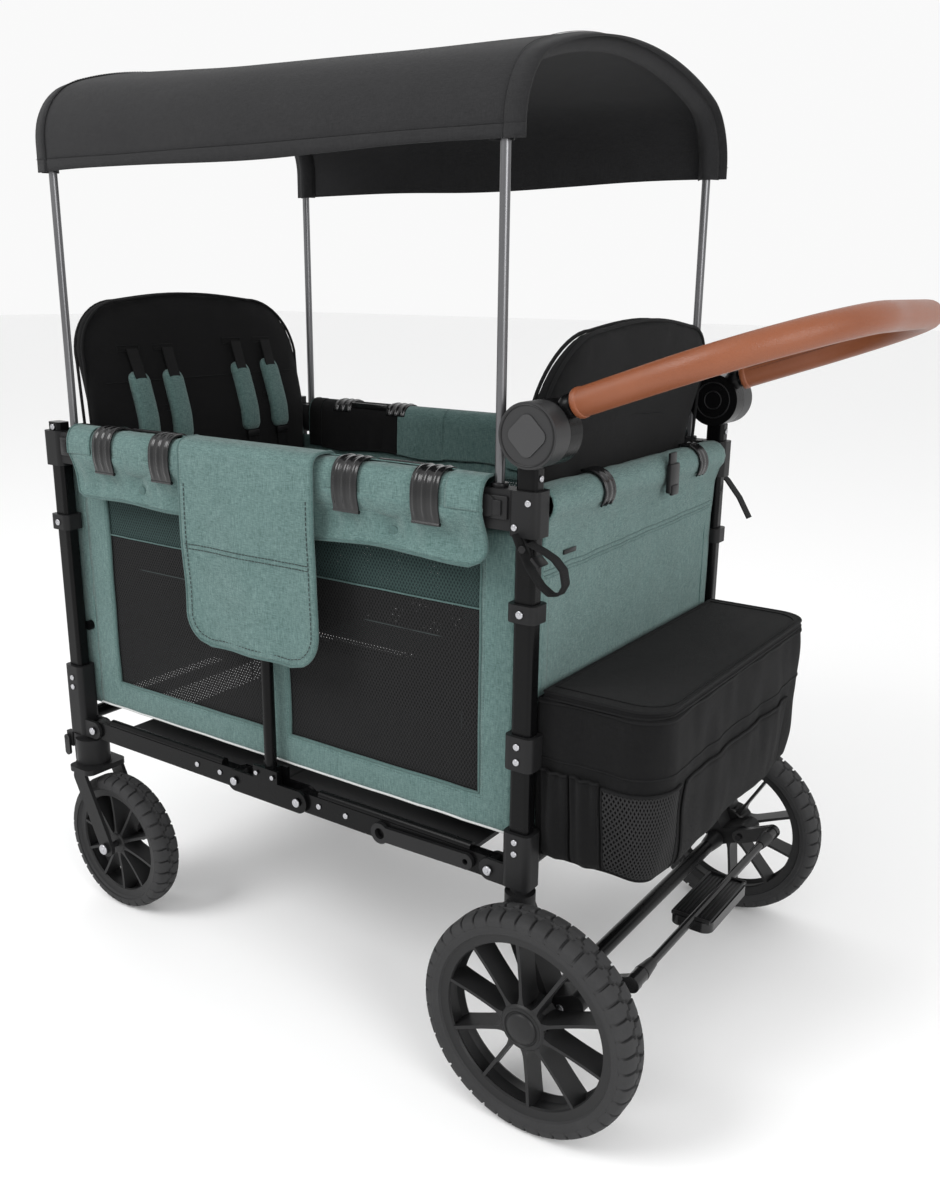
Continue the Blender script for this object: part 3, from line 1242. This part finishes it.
def basket_point(u, v, proud=0.0):
    """u runs round the outside from near to far, v from the foot to the top."""
    p = along_line(basket_line, u)
    q = along_line(basket_line, min(u + 0.004, 1.0)) - along_line(basket_line, max(u - 0.004, 0.0))
    out = Vector((q.y, -q.x, 0)).normalized()
    z = bz0 + (bz1 - bz0) * v
    tuck = 0.010 * (1 - v) ** 2 + 0.006 * max(0.0, 0.06 - v) / 0.06
    bow = 0.0035 * sin(pi * v) + ripple(p.x, p.y, z, 13, 0.006) + ripple(p.x, p.y, z * 0.4, 34, 0.003)
    return Vector((p.x, p.y, z)) + out * (bow - tuck + proud - 0.001)


basket = grid(150, 36, basket_point)
foot = bmesh.new()
foot.faces.new([foot.verts.new(basket_point(i / 150, 0)) for i in range(151)])
front_wall = grid(20, 10, lambda u, v: basket_point(0, v).lerp(basket_point(1, v), u))
basket_piece = finished("basket_cloth", joined(basket, foot, front_wall), black_cloth, "rear_frame",
                        "black_fabric", ["basket_body"], 60)
thicken(basket_piece, 0.0022)
pockets, trim, nets = bmesh.new(), bmesh.new(), bmesh.new()
# Along the near side from its front edge: where each pleated pocket starts, ends and tops out
pocket_spans = [(0.010, 0.046, 0.585), (0.050, 0.088, 0.585)]
pocket_foot = 0.03
turn_start = line_length(basket_line[:2])
net_start, net_end = 0.092, turn_start + 0.085
wide_start, wide_end = turn_start + 0.100, basket_len - turn_start - 0.100


def on_pocket(length, top, v, full):
    """A point so far round the basket and a share v of the way up a pocket, standing off by full."""
    return basket_point(length / basket_len, pocket_foot + (top - pocket_foot) * v, full)


for a, b, top in pocket_spans:
    def pocket(u, v, a=a, b=b, top=top):
        full = 0.004 + 0.010 * sin(pi * u) ** 0.7 * (0.35 + 0.65 * sin(pi * min(1, v + 0.15)))
        pleat = 0.0022 * sin(u * 2 * pi * 2 + 1.0 + 1.5 * v) * (0.3 + 0.7 * v)
        return on_pocket(a + (b - a) * u, top, v, full + pleat)
    pockets = joined(pockets, grid(24, 14, pocket))
    strand(trim, [pocket(i / 24, 1.0) for i in range(25)], 0.0020)
for a, b, top in ((net_start, net_end, 0.56), (wide_start, wide_end, 0.555)):
    def flat_pocket(u, v, a=a, b=b, top=top):
        full = 0.0035 + 0.005 * sin(pi * u) * sin(pi * v)
        return on_pocket(a + (b - a) * u, top, v, full)
    if a == net_start:
        nets = joined(nets, grid(40, 12, flat_pocket))
    else:
        pockets = joined(pockets, grid(70, 12, flat_pocket))
    for u in (0, 1):
        strand(trim, [flat_pocket(u, i / 12) for i in range(13)], 0.0014)
    strand(trim, [flat_pocket(i / 60, 1.0) for i in range(61)], 0.0022)
for a, b, top in pocket_spans:
    for edge in (a, b):
        strand(trim, [on_pocket(edge, top, i / 10, 0.0035) for i in range(11)], 0.0012)
for v, proud, bead_r in ((0.655, 0.0012, 0.0014), (0.985, 0.0012, 0.0020), (0.012, 0.0010, 0.0020)):
    strand(trim, [basket_point(i / 120, v, proud) for i in range(121)], bead_r)
pocket_piece = finished("basket_pockets", pockets, black_cloth, "rear_frame", "black_fabric")
thicken(pocket_piece, 0.0016)
pocket_net = netting("pocket_net", (0.002, 0.002, 0.0022), (0.026, 0.026, 0.0265), 0.0058, 0.85)
net_piece = finished("basket_net_pocket", nets, pocket_net, "rear_frame", "black_fabric")
basket_trim = finished("basket_bindings", trim, webbing, "rear_frame", "black_fabric")
pocket_area = (bz1 - bz0) * (sum((b - a) * (top - pocket_foot) for a, b, top in pocket_spans)
                             + (wide_end - wide_start) * 0.525)

# ---- Basket lid ----
# A stiffened fabric lid, hinged at its front edge and zipped round the rest, with
# piping along its top and bottom edges and a slight crown.
lid_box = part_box("basket_lid")
lid_line = [Vector((lid_box[0].x, p.y, 0)) if p.x < lid_box[0].x else p for p in basket_plan()]
lid_round = lid_line + lid_line[:1]
lid_centre = Vector(((lid_box[0].x + bx1) / 2, 0, 0))


def lid_point(u, v):
    """Rings from the middle of the lid out to its edge and down its side."""
    p = along_line(lid_round, u)
    if v < 0.86:
        k = v / 0.86
        flat = lid_centre.lerp(p, k * 0.994)
        return Vector((flat.x, flat.y,
                       lid_box[1].z + 0.0012 * (1 - k ** 3)
                       + ripple(flat.x, flat.y, 0, 10, 0.0012) * (1 - k)))
    k = (v - 0.86) / 0.14
    return Vector((p.x, p.y, lid_box[1].z - 0.0005 - (lid_box[1].z - lid_box[0].z - 0.001) * k))


lid_bm = grid(150, 22, lid_point)
under = bmesh.new()
under.faces.new([under.verts.new(lid_point(i / 150, 1.0)) for i in range(150)])
lid_bm = joined(lid_bm, under)
bmesh.ops.remove_doubles(lid_bm, verts=lid_bm.verts[:], dist=1e-5)
bmesh.ops.recalc_face_normals(lid_bm, faces=lid_bm.faces[:])
lid = finished("lid_cloth", lid_bm, black_cloth, "basket_lid", "black_fabric", ["basket_lid"], 50)
bm = bmesh.new()
for v, bead_r in ((0.87, 0.0017), (0.99, 0.0018)):
    strand(bm, [lid_point(i / 150, v) for i in range(150)], bead_r, True)
seam_up = Vector((0, 0, lid_box[1].z + 0.0008))
strand(bm, [along_line(lid_round, i / 150).lerp(lid_centre, 0.07) + seam_up for i in range(150)], 0.0008,
       True)
finished("lid_piping", bm, webbing, "basket_lid", "black_fabric")

# ---- Post straps ----
# Black webbing on the rear brackets: the near one is looped through a slide, and the
# far one hangs as a cut end.


def ribbon_along(line, width, turn_axis=(0, 1, 0), steps=60):
    """A flat ribbon that follows a line, its width along an axis."""
    side = Vector(turn_axis).normalized()
    return grid(4, steps, lambda u, v: along_line(line, v) + side * width * (u - 0.5))


strap_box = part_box("post_straps")
strap_y = (strap_box[0].y + -post_y - 0.0173) / 2
near_bends = ((-0.006, 0.006, 0.752), (0.004, 0.002, 0.738), (0.018, 0, 0.716), (0.034, -0.001, 0.698),
              (0.048, -0.002, 0.690), (0.060, -0.002, 0.692), (0.066, -0.001, 0.704), (0.062, 0, 0.720),
              (0.050, 0.001, 0.731), (0.034, 0.002, 0.738), (0.014, 0.003, 0.744))
near_loop = [(rear_x + x, strap_y + y, z) for x, y, z in near_bends]
near_strap = ribbon_along(near_loop, 0.017)
far_line = [(rear_x - 0.004, -strap_y - 0.004, 0.752), (rear_x + 0.012, -strap_y, 0.738),
            (rear_x + 0.034, -strap_y, 0.712), (rear_x + 0.052, -strap_y, 0.682)]
far_strap = ribbon_along(far_line, 0.019)
strap_area = (line_length(near_loop) * 0.017 + line_length(far_line) * 0.019)
straps = finished("bracket_straps", joined(near_strap, far_strap), webbing, "rear_frame", "webbing",
                  ["post_straps"])
thicken(straps, 0.0016)
bm = bmesh.new()
slab(bm, (0.014, 0.022, 0.004), (rear_x + 0.030, strap_y, 0.7255), 0.001,
     Matrix.Rotation(radians(42), 4, "Y"))
round_bar(bm, (rear_x + 0.012, strap_y - 0.0092, 0.7385), (0, -1, 0), 0.0045, 0.002, 0.0006)
round_bar(bm, (rear_x + 0.004, -strap_y + 0.0092, 0.744), (0, 1, 0), 0.0045, 0.002, 0.0006)
finished("strap_slides", bm, moulded, "rear_frame", "black_plastic")

# ---- Tyres ----
# Foam rubber tyres with a smooth side wall. The tread is two interlocking rows of
# blocks that reach over the shoulders, divided by narrow grooves.
bead_share = 0.81
rubber = Finish("foam_rubber", (0.018, 0.018, 0.0185), 0.72, Specular_IOR_Level=0.25)
dust = rubber.noise(30, 4)
rubber.colour(rubber.mix(dust * 0.6 + rubber.noise(500) * 0.4, (0.014, 0.014, 0.0145),
                         (0.040, 0.040, 0.041)))
rubber.rough(0.62 + dust * 0.2)
rubber.bump(rubber.noise(1400, 2), 0.0002)


def spun(profile, steps=96):
    """A closed profile of radius and width, spun round the wheel's axis."""
    bm = bmesh.new()
    verts = [bm.verts.new((r, w, 0)) for r, w in profile]
    edges = [bm.edges.new(pair) for pair in zip(verts, verts[1:] + verts[:1])]
    bmesh.ops.spin(bm, geom=verts + edges, cent=(0, 0, 0), axis=(0, 1, 0), angle=2 * pi, steps=steps,
                   use_merge=True)
    bmesh.ops.remove_doubles(bm, verts=bm.verts[:], dist=1e-6)
    bmesh.ops.recalc_face_normals(bm, faces=bm.faces[:])
    return bm


def tyre(radius, width):
    """A tread of two interlocking rows of blocks over the shoulders, divided by narrow grooves."""
    bead = radius * bead_share
    block_pitch, groove = 0.0224, 0.0038
    tread = [(-0.488, 0.0138, 1), (-0.480, 0.0100, 1), (-0.455, 0.0062, 1), (-0.41, 0.0042, 1),
             (-0.34, 0.0024, 1), (-0.26, 0.0012, 1)]
    tread += [(-0.20 + 0.025 * i, 0.0006, 1) for i in range(17)] + [(-w, r, 1) for w, r, g in tread[::-1]]
    side = [(0.36, radius - bead, 0), (0.45, radius - bead - 0.003, 0), (0.465, radius - bead - 0.007, 0),
            (0.4775, radius - bead - 0.0085, 0),
            (0.490, 0.0175, 0), (0.482, 0.0160, 0), (0.490, 0.0150, 0)]
    section = [(-w, r, g) for w, r, g in side] + tread + side[::-1]
    count = round(2 * pi * radius / block_pitch)
    phases = (-0.095, -0.055, 0.055, 0.095, 0.20, 0.30, 0.405, 0.445, 0.555, 0.595, 0.70, 0.80)
    bm = bmesh.new()
    rings = []
    for i in range(count):
        for phase in phases:
            a = 2 * pi * (i + phase) / count
            middle = -0.085 * max(-1.0, min(1.0, 2.2 * cos(2 * pi * phase)))
            row = []
            for w, drop, share in section:
                to_cut = abs(phase) if w < middle else abs(phase - 0.5)
                cross = clamp((0.095 - min(to_cut, 1 - to_cut)) / 0.04)
                zigzag = clamp((0.0024 - abs(w - middle) * width) / 0.0010)
                r = radius - drop - groove * share * max(cross, zigzag)
                row.append(bm.verts.new((r * cos(a), w * width, r * sin(a))))
            rings.append(row)
    for p, q in zip(rings, rings[1:] + rings[:1]):
        for k in range(len(section)):
            m = (k + 1) % len(section)
            bm.faces.new((p[k], p[m], q[m], q[k]))
    bmesh.ops.recalc_face_normals(bm, faces=bm.faces[:])
    return bm


# ---- Wheels ----
# Moulded black wheels: ten thin webs that thicken at the hub, a rim with a raised
# lip, and at the back pair a domed hub cap with a ring groove.
wheel_black = hard_finish("wheel_nylon", (0.009, 0.009, 0.0094), (0.019, 0.019, 0.0195), 0.42, 900, 0.0002,
                          Specular_IOR_Level=0.22)


def wheel(radius, width, cap, spokes=10):
    """A rim, a hub and its spokes, with a cap over the hub if it has one."""
    bead = radius * bead_share
    half = width / 2
    barrel = [(bead - 0.001, 0.76 * half), (bead + 0.0015, 0.79 * half), (bead + 0.0015, 0.70 * half),
              (bead - 0.0005, -0.70 * half),
              (bead + 0.0015, -0.79 * half), (bead - 0.001, -0.76 * half), (bead - 0.010, -0.72 * half),
              (bead - 0.0115, -0.60 * half),
              (bead - 0.006, -0.3 * half), (bead - 0.006, 0.3 * half), (bead - 0.0115, 0.60 * half),
              (bead - 0.010, 0.72 * half)]
    bore = 0.0085 if cap else 0.0055
    boss = 0.031 if cap else 0.018
    centre = [(bore, 0.80 * half), (boss - 0.002, 0.80 * half), (boss, 0.72 * half), (boss * 0.8, 0),
              (boss, -0.72 * half), (boss - 0.002, -0.80 * half), (bore, -0.80 * half)]
    bm = joined(spun(barrel), spun(centre, 48))
    reach = bead - 0.008 - boss
    for i in range(spokes):
        web = bmesh.new()
        bmesh.ops.create_grid(web, x_segments=14, y_segments=6, size=0.5)
        made = bmesh.ops.extrude_face_region(web, geom=web.faces[:])
        bmesh.ops.translate(web, vec=(0, 0, 1),
                            verts=[v for v in made["geom"] if isinstance(v, bmesh.types.BMVert)])
        for v in web.verts:
            k, across, face = v.co.x + 0.5, v.co.y, v.co.z - 0.5
            thick = 0.0044 + 0.0075 * max(0.0, 1 - k / 0.16) ** 2
            v.co = (boss - 0.003 + (reach + 0.010) * k, across * (1.46 - 0.16 * sin(pi * k)) * half,
                    face * thick)
        bmesh.ops.recalc_face_normals(web, faces=web.faces[:])
        bmesh.ops.transform(web, matrix=Matrix.Rotation(2 * pi * (i + 0.35) / spokes, 4, "Y"),
                            verts=web.verts[:])
        bm = joined(bm, web)
    if cap:
        face = -0.80 * half
        dome = [(0.0001, face - 0.0062), (0.012, face - 0.0058), (0.0185, face - 0.0040),
                (0.0205, face - 0.0022), (0.0212, face - 0.0002),
                (0.0225, face - 0.0002), (0.0240, face - 0.0016), (0.0262, face - 0.0004),
                (0.0262, face + 0.001), (0.0001, face + 0.001)]
        bm = joined(bm, spun(dome, 48))
    return bm


for part, flip in both_ends:
    low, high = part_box(f"{part}_tyre_near")
    centre = (low + high) / 2
    radius = (high.x - low.x) / 2
    width = high.y - low.y
    tread = tyre(radius, width)
    spoked = wheel(radius, width, cap=part == "rear")
    for mesh in (tread, spoked):
        bmesh.ops.translate(mesh, vec=centre, verts=mesh.verts[:])
    for side in ("near", "far"):
        meshes = [m.copy() if side == "near" else mirrored(m, y=True) for m in (tread, spoked)]
        body = f"{part}_wheel_{side}"
        finished(f"{part}_{side}_tread", meshes[0], rubber, body, "tyre_rubber", [f"{part}_tyre_{side}"],
                 32)
        finished(f"{part}_{side}_wheel", meshes[1], wheel_black, body, "rim_plastic",
                 [f"{part}_rim_{side}"], 32)
    tread.free()
    spoked.free()
axle_x, axle_z = front_x + 0.081, 0.116
for side, s in (("near", -1), ("far", 1)):
    rivets(f"caster_{side}_bolts", f"caster_{side}",
           [((axle_x, s * (post_y + 0.043), axle_z), (0, s, 0), 0.009),
                                                      ((axle_x, s * (post_y - 0.043), axle_z), (0, -s, 0),
                                                       0.008)], bright, "grey_casting", both=False)

# ---- Brake ----
# A steel rod across the back between two arms, with a ribbed rubber foot pad in its
# middle and a moulded boot at each end.
gloss_coat = hard_finish("gloss_black_coat", (0.004, 0.004, 0.0044), (0.008, 0.008, 0.0084), 0.2, 700,
                         0.00004, Specular_IOR_Level=0.35)
paint(gloss_coat, "brake_bar")
rod_x, rod_z = rear_x + 0.150, 0.195


def boot(bm, at, side, wide, narrow, length):
    """A moulded boot on a rod or axle, its narrow end towards the middle."""
    place = Matrix.Translation(at) @ Matrix.Rotation(side * pi / 2, 4, "X")
    bmesh.ops.create_cone(bm, cap_ends=True, segments=28, radius1=wide, radius2=narrow, depth=length,
                          matrix=place)


bm = bmesh.new()
for i in range(9):
    slab(bm, (0.003, 0.116, 0.003), (rod_x - 0.002 - 0.022 + 0.0055 * i, 0, rod_z + 0.0018), 0.001)
slab(bm, (0.056, 0.136, 0.0025), (rod_x - 0.002, 0, rod_z + 0.0006), 0.001)
for s in (-1, 1):
    slab(bm, (0.056, 0.004, 0.005), (rod_x - 0.002, s * 0.066, rod_z + 0.0022), 0.0012)
    slab(bm, (0.004, 0.128, 0.005), (rod_x - 0.002 + s * 0.026, 0, rod_z + 0.0022), 0.0012)
    boot(bm, (rod_x, s * 0.205, rod_z), s, 0.0105, 0.0070, 0.030)
finished("brake_pad_ribs", bm, moulded, "brake", "black_plastic")
bm = bmesh.new()
for s in (-1, 1):
    boot(bm, (rear_x + 0.053, s * 0.236, 0.150), s, 0.0150, 0.0112, 0.034)
    round_bar(bm, (rear_x + 0.098, s * (post_y - 0.0150), 0.172), (0, 1, 0), 0.008, 0.004, 0.001)
finished("axle_boots", bm, moulded, "rear_frame", "black_plastic")
rivets("carrier_bolts", "rear_frame", [((rear_x + 0.022, -post_y - 0.026, 0.218), outward, 0.0055),
                                       ((rear_x + 0.078, -post_y - 0.026, 0.160), outward, 0.0055)],
       bright, "grey_casting")

# ---- Studio ----
# A pale floor under a white sky, a broad soft light from above and the left, and the
# camera a little above the handle, looking down along the wagon.
floor_bm = bmesh.new()
bmesh.ops.create_grid(floor_bm, x_segments=1, y_segments=1, size=30)
floor_finish = Finish("studio_floor", (0.93, 0.93, 0.93), 0.7)
floor_finish.shader["Specular IOR Level"].default_value = 0.1
floor_mesh = bpy.data.meshes.new("studio_floor")
floor_bm.to_mesh(floor_mesh)
floor_bm.free()
floor_mesh.materials.append(floor_finish.material)
studio_floor = bpy.data.objects.new("studio_floor", floor_mesh)
scene.collection.objects.link(studio_floor)
world = bpy.data.worlds.new("studio")
world.use_nodes = True
world.node_tree.nodes["Background"].inputs["Color"].default_value = (1, 1, 1, 1)
world.node_tree.nodes["Background"].inputs["Strength"].default_value = 0.95
scene.world = world
scene.view_settings.view_transform = "Standard"


def soft_light(name, at, aim, size, power):
    light = bpy.data.lights.new(name, "AREA")
    light.shape = "DISK"
    light.size = size
    light.energy = power
    lamp = bpy.data.objects.new(name, light)
    lamp.location = at
    lamp.rotation_mode = "QUATERNION"
    lamp.rotation_quaternion = (Vector(aim) - Vector(at)).to_track_quat("-Z", "Y")
    scene.collection.objects.link(lamp)


soft_light("key_light", (-1.6, -3.0, 3.4), (0, 0, 0.6), 2.2, 95)
soft_light("rear_light", (2.8, -1.4, 1.6), (0.2, 0, 0.6), 1.6, 40)

pitch, yaw, roll = radians(15.75), radians(34.41), radians(0.62)
forward = Vector((-sin(yaw) * cos(pitch), cos(yaw) * cos(pitch), -sin(pitch)))
level = Vector((cos(yaw), sin(yaw), 0))
up = level.cross(forward)
right = level * cos(roll) + up * sin(roll)
up = up * cos(roll) - level * sin(roll)
lens = bpy.data.cameras.new("camera")
lens.sensor_width = 36
lens.lens = 33.57
lens.clip_end = 100
camera = bpy.data.objects.new("camera", lens)
facing = Matrix((right, up, -forward)).transposed().to_4x4()
camera.matrix_world = Matrix.Translation((rear_x + 0.6617, -1.3579, 1.0269)) @ facing
scene.collection.objects.link(camera)
scene.camera = camera
